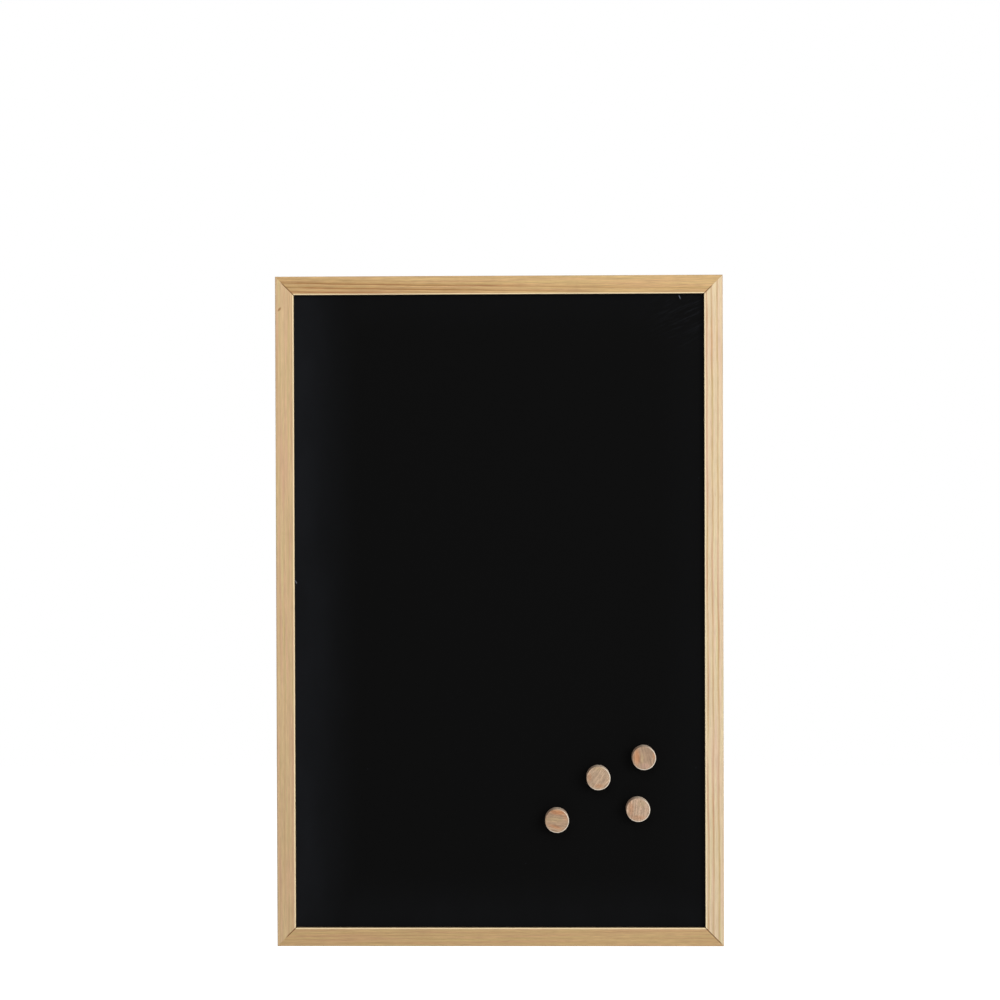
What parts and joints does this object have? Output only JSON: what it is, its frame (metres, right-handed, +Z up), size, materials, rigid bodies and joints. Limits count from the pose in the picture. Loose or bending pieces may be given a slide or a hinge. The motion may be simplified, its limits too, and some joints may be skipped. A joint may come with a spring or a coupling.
{
  "type": "chalkboard",
  "caption": "Wall-hung magnetic chalkboard: a black painted steel writing sheet in a mitred pine frame, with round wooden magnets and D-ring hangers behind.",
  "frame": {"origin": "on the wall's face, midway between the two hooks that the board hangs on, 45 mm below the frame's top edge", "axes": "+X to the viewer's right, +Y from the board's front towards the wall, +Z up along the stiles"},
  "size_m": [0.4, 0.0273, 0.6],
  "materials": {
    "pine": "satin",
    "chalk_paint": "matt",
    "hardboard": "smooth",
    "zinc_steel": "zinc plated",
    "spring_steel": "plain",
    "beech": "fine sanded",
    "nickel": "nickel plated",
    "bumper_rubber": "matt"
  },
  "bodies": {
    "board": {"frame_rail_top": "pine", "frame_rail_bottom": "pine", "frame_stile_left": "pine", "frame_stile_right": "pine", "writing_sheet": "chalk_paint", "backing_board": "hardboard", "framer_point_left_1": "spring_steel", "framer_point_left_2": "spring_steel", "framer_point_left_3": "spring_steel", "framer_point_right_1": "spring_steel", "framer_point_right_2": "spring_steel", "framer_point_right_3": "spring_steel", "framer_point_top_1": "spring_steel", "framer_point_top_2": "spring_steel", "framer_point_bottom_1": "spring_steel", "framer_point_bottom_2": "spring_steel", "v_nail_top_left_outer": "spring_steel", "v_nail_top_left_inner": "spring_steel", "v_nail_top_right_outer": "spring_steel", "v_nail_top_right_inner": "spring_steel", "v_nail_bottom_left_outer": "spring_steel", "v_nail_bottom_left_inner": "spring_steel", "v_nail_bottom_right_outer": "spring_steel", "v_nail_bottom_right_inner": "spring_steel", "hanger_plate_left": "zinc_steel", "hanger_plate_right": "zinc_steel", "hanger_screw_left": "zinc_steel", "hanger_screw_right": "zinc_steel", "wall_bumper_left": "bumper_rubber", "wall_bumper_right": "bumper_rubber"},
    "ring_left": {"hanger_ring_left": "zinc_steel"},
    "ring_right": {"hanger_ring_right": "zinc_steel"},
    "magnet_1": {"magnet_cap_1": "beech", "magnet_disc_1": "nickel"},
    "magnet_2": {"magnet_cap_2": "beech", "magnet_disc_2": "nickel"},
    "magnet_3": {"magnet_cap_3": "beech", "magnet_disc_3": "nickel"},
    "magnet_4": {"magnet_cap_4": "beech", "magnet_disc_4": "nickel"}
  },
  "joints": [
    {"name": "ring_left_swing", "type": "hinge", "parent": "board", "child": "ring_left", "pos_m": [-0.1934, -0.0037, -0.0122], "axis": [1, 0, 0], "range_deg": [0, 186]},
    {"name": "ring_right_swing", "type": "hinge", "parent": "board", "child": "ring_right", "pos_m": [0.1934, -0.0037, -0.0122], "axis": [1, 0, 0], "range_deg": [0, 186]},
    {"name": "magnet_1_pull_off", "type": "slide", "parent": "board", "child": "magnet_1", "axis": [0, -1, 0], "range_m": [0, 0.04]},
    {"name": "magnet_2_pull_off", "type": "slide", "parent": "board", "child": "magnet_2", "axis": [0, -1, 0], "range_m": [0, 0.04]},
    {"name": "magnet_3_pull_off", "type": "slide", "parent": "board", "child": "magnet_3", "axis": [0, -1, 0], "range_m": [0, 0.04]},
    {"name": "magnet_4_pull_off", "type": "slide", "parent": "board", "child": "magnet_4", "axis": [0, -1, 0], "range_m": [0, 0.04]}
  ]
}
